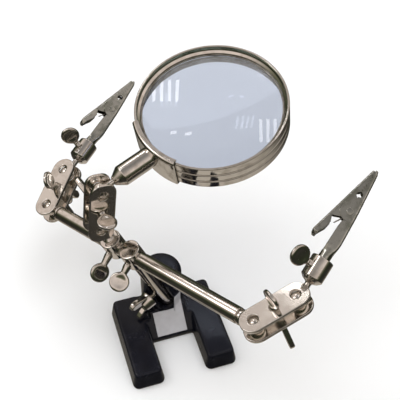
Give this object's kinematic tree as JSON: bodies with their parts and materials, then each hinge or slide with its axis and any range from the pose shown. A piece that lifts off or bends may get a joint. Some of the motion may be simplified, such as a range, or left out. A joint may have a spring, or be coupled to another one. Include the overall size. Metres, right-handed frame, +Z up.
{
  "type": "third hand soldering stand",
  "caption": "Soldering third hand: cast base, leaning post and cross bar with ball-jointed alligator clips and a round magnifier on plate clamps.",
  "frame": {"origin": "on the ground, under the axis of the base's round tower", "axes": "+Z up, -Y towards the user and along the base legs, +X to the right"},
  "size_m": [0.1331, 0.1691, 0.1076],
  "materials": {
    "black_paint": "gloss",
    "nickel": "polished",
    "lens_glass": "polished",
    "paper_label": "satin",
    "spring_steel": "satin"
  },
  "bodies": {
    "base": {"base_casting": "black_paint", "base_label": "paper_label"},
    "base_wing_screw": {"base_wing_screw": "nickel"},
    "post": {"post_rod": "nickel"},
    "post_head": {"post_head": "nickel"},
    "post_thumb_screw": {"post_thumb_screw": "nickel"},
    "crossbar": {"crossbar_tube": "nickel"},
    "sleeve": {"magnifier_sleeve": "nickel"},
    "sleeve_thumb_screw": {"sleeve_thumb_screw": "nickel"},
    "sleeve_stud": {"sleeve_ball_stud": "nickel"},
    "magnifier_clamp": {"magnifier_clamp_front_plate": "nickel", "magnifier_clamp_back_plate": "nickel"},
    "magnifier_clamp_screw": {"magnifier_clamp_thumb_screw": "nickel"},
    "magnifier_clamp_nut": {"magnifier_clamp_wing_nut": "nickel"},
    "handle_ball": {"handle_ball": "nickel"},
    "magnifier": {"magnifier_handle": "nickel", "lens_bracket": "nickel", "lens_hoop": "nickel", "lens_glass": "lens_glass", "lens_retainer": "nickel", "bracket_screw": "nickel"},
    "left_bar_ball": {"left_bar_ball": "nickel"},
    "left_clamp": {"left_clamp_front_plate": "nickel", "left_clamp_back_plate": "nickel"},
    "left_clamp_screw": {"left_clamp_thumb_screw": "nickel"},
    "left_clamp_nut": {"left_clamp_wing_nut": "nickel"},
    "left_holder": {"left_clip_holder": "nickel"},
    "left_holder_screw": {"left_holder_thumb_screw": "nickel"},
    "left_clip": {"left_clip_lower_jaw": "nickel", "left_clip_rivet": "spring_steel", "left_clip_spring": "spring_steel"},
    "left_upper_jaw": {"left_clip_upper_jaw": "nickel"},
    "right_bar_ball": {"right_bar_ball": "nickel"},
    "right_clamp": {"right_clamp_front_plate": "nickel", "right_clamp_back_plate": "nickel"},
    "right_clamp_screw": {"right_clamp_thumb_screw": "nickel"},
    "right_clamp_nut": {"right_clamp_wing_nut": "nickel"},
    "right_holder": {"right_clip_holder": "nickel"},
    "right_holder_screw": {"right_holder_thumb_screw": "nickel"},
    "right_clip": {"right_clip_lower_jaw": "nickel", "right_clip_rivet": "spring_steel", "right_clip_spring": "spring_steel"},
    "right_upper_jaw": {"right_clip_upper_jaw": "nickel"}
  },
  "joints": [
    {"name": "base_screw_turn", "type": "hinge", "parent": "base", "child": "base_wing_screw", "pos_m": [-0.00208, -0.0041, 0.02213], "axis": [-0.8455, -0.4226, -0.3263], "range_deg": [-90, 0]},
    {"name": "post_slide", "type": "slide", "parent": "base", "child": "post", "axis": [-0.36, 0, 0.933], "range_m": [0, 0.005]},
    {"name": "head_turn", "type": "hinge", "parent": "post", "child": "post_head", "pos_m": [-0.01302, -0.0041, 0.05049], "axis": [-0.36, 0, 0.933], "range_deg": [-40, 30]},
    {"name": "post_screw_turn", "type": "hinge", "parent": "post_head", "child": "post_thumb_screw", "pos_m": [-0.01302, -0.0041, 0.05049], "axis": [-0.6396, -0.5068, -0.578], "range_deg": [-90, 0]},
    {"name": "bar_slide", "type": "slide", "parent": "post_head", "child": "crossbar", "axis": [0.4972, -0.8462, 0.1918], "range_m": [-0.02, 0.002]},
    {"name": "sleeve_turn", "type": "hinge", "parent": "crossbar", "child": "sleeve", "pos_m": [-0.01904, 0.00614, 0.04817], "axis": [0.4972, -0.8462, 0.1918], "range_deg": [-20, 20]},
    {"name": "sleeve_screw_turn", "type": "hinge", "parent": "sleeve", "child": "sleeve_thumb_screw", "pos_m": [-0.01904, 0.00614, 0.04817], "axis": [-0.6396, -0.5068, -0.578], "range_deg": [-90, 0]},
    {"name": "stud_turn", "type": "hinge", "parent": "sleeve", "child": "sleeve_stud", "pos_m": [-0.01904, 0.00614, 0.04817], "axis": [-0.36, 0, 0.933], "range_deg": [-20, 30]},
    {"name": "magnifier_clamp_swing", "type": "hinge", "parent": "sleeve_stud", "child": "magnifier_clamp", "pos_m": [-0.02487, 0.00614, 0.06328], "axis": [0.113, -0.9901, 0.083], "range_deg": [-20, 20]},
    {"name": "magnifier_clamp_screw_turn", "type": "hinge", "parent": "magnifier_clamp", "child": "magnifier_clamp_screw", "pos_m": [-0.02352, 0.00714, 0.07276], "axis": [0.113, -0.9901, 0.083], "range_deg": [-90, 0]},
    {"name": "magnifier_clamp_nut_turn", "type": "hinge", "parent": "magnifier_clamp", "child": "magnifier_clamp_nut", "pos_m": [-0.02352, 0.00714, 0.07276], "axis": [0.113, -0.9901, 0.083], "range_deg": [0, 90]},
    {"name": "handle_swing", "type": "hinge", "parent": "magnifier_clamp", "child": "handle_ball", "pos_m": [-0.02216, 0.00814, 0.08224], "axis": [0.113, -0.9901, 0.083], "range_deg": [-15, 25]},
    {"name": "magnifier_roll", "type": "hinge", "parent": "handle_ball", "child": "magnifier", "pos_m": [-0.02216, 0.00814, 0.08224], "axis": [0.9291, 0.313, 0.197], "range_deg": [-35, 35]},
    {"name": "left_ball_turn", "type": "hinge", "parent": "crossbar", "child": "left_bar_ball", "pos_m": [-0.04136, 0.04413, 0.03956], "axis": [0.4972, -0.8462, 0.1918], "range_deg": [-30, 30]},
    {"name": "left_clamp_swing", "type": "hinge", "parent": "left_bar_ball", "child": "left_clamp", "pos_m": [-0.04136, 0.04413, 0.03956], "axis": [-0.4, -0.069, 0.9139], "range_deg": [-12, 40]},
    {"name": "left_clamp_screw_turn", "type": "hinge", "parent": "left_clamp", "child": "left_clamp_screw", "pos_m": [-0.03561, 0.05125, 0.04255], "axis": [-0.4, -0.069, 0.9139], "range_deg": [-90, 0]},
    {"name": "left_clamp_nut_turn", "type": "hinge", "parent": "left_clamp", "child": "left_clamp_nut", "pos_m": [-0.03561, 0.05125, 0.04255], "axis": [-0.4, -0.069, 0.9139], "range_deg": [0, 90]},
    {"name": "left_holder_swing", "type": "hinge", "parent": "left_clamp", "child": "left_holder", "pos_m": [-0.02986, 0.05836, 0.04554], "axis": [-0.4, -0.069, 0.9139], "range_deg": [-20, 40]},
    {"name": "left_clip_turn", "type": "hinge", "parent": "left_holder", "child": "left_clip", "pos_m": [-0.02986, 0.05836, 0.04554], "axis": [0.7326, 0.6377, 0.2379], "range_deg": [-60, 60]},
    {"name": "left_holder_screw_turn", "type": "hinge", "parent": "left_holder", "child": "left_holder_screw", "pos_m": [-0.01924, 0.06761, 0.04899], "axis": [-0.4583, 0.2038, 0.8651], "range_deg": [-90, 0]},
    {"name": "left_jaw_open", "type": "hinge", "parent": "left_clip", "child": "left_upper_jaw", "pos_m": [-0.00084, 0.08476, 0.05567], "axis": [0.1839, -0.522, 0.8329], "range_deg": [0, 16], "stiffness_Nm_per_rad": 0.02, "springref_deg": -20.05},
    {"name": "right_ball_turn", "type": "hinge", "parent": "crossbar", "child": "right_bar_ball", "pos_m": [0.02143, -0.06274, 0.06378], "axis": [0.4972, -0.8462, 0.1918], "range_deg": [-30, 30]},
    {"name": "right_clamp_swing", "type": "hinge", "parent": "right_bar_ball", "child": "right_clamp", "pos_m": [0.02143, -0.06274, 0.06378], "axis": [-0.28, 0.065, 0.9578], "range_deg": [-30, 30]},
    {"name": "right_clamp_screw_turn", "type": "hinge", "parent": "right_clamp", "child": "right_clamp_screw", "pos_m": [0.0306, -0.06134, 0.06633], "axis": [-0.28, 0.065, 0.9578], "range_deg": [-90, 0]},
    {"name": "right_clamp_nut_turn", "type": "hinge", "parent": "right_clamp", "child": "right_clamp_nut", "pos_m": [0.0306, -0.06134, 0.06633], "axis": [-0.28, 0.065, 0.9578], "range_deg": [0, 90]},
    {"name": "right_holder_swing", "type": "hinge", "parent": "right_clamp", "child": "right_holder", "pos_m": [0.03978, -0.05993, 0.06888], "axis": [-0.28, 0.065, 0.9578], "range_deg": [-40, 30]},
    {"name": "right_clip_turn", "type": "hinge", "parent": "right_holder", "child": "right_clip", "pos_m": [0.03978, -0.05993, 0.06888], "axis": [0.7318, 0.5048, 0.4579], "range_deg": [-60, 60]},
    {"name": "right_holder_screw_turn", "type": "hinge", "parent": "right_holder", "child": "right_holder_screw", "pos_m": [0.05039, -0.05261, 0.07552], "axis": [-0.6238, 0.2255, 0.7483], "range_deg": [-90, 0]},
    {"name": "right_jaw_open", "type": "hinge", "parent": "right_clip", "child": "right_upper_jaw", "pos_m": [0.06877, -0.03876, 0.08766], "axis": [-0.2134, -0.4683, 0.8574], "range_deg": [0, 16], "stiffness_Nm_per_rad": 0.02, "springref_deg": -20.05}
  ]
}
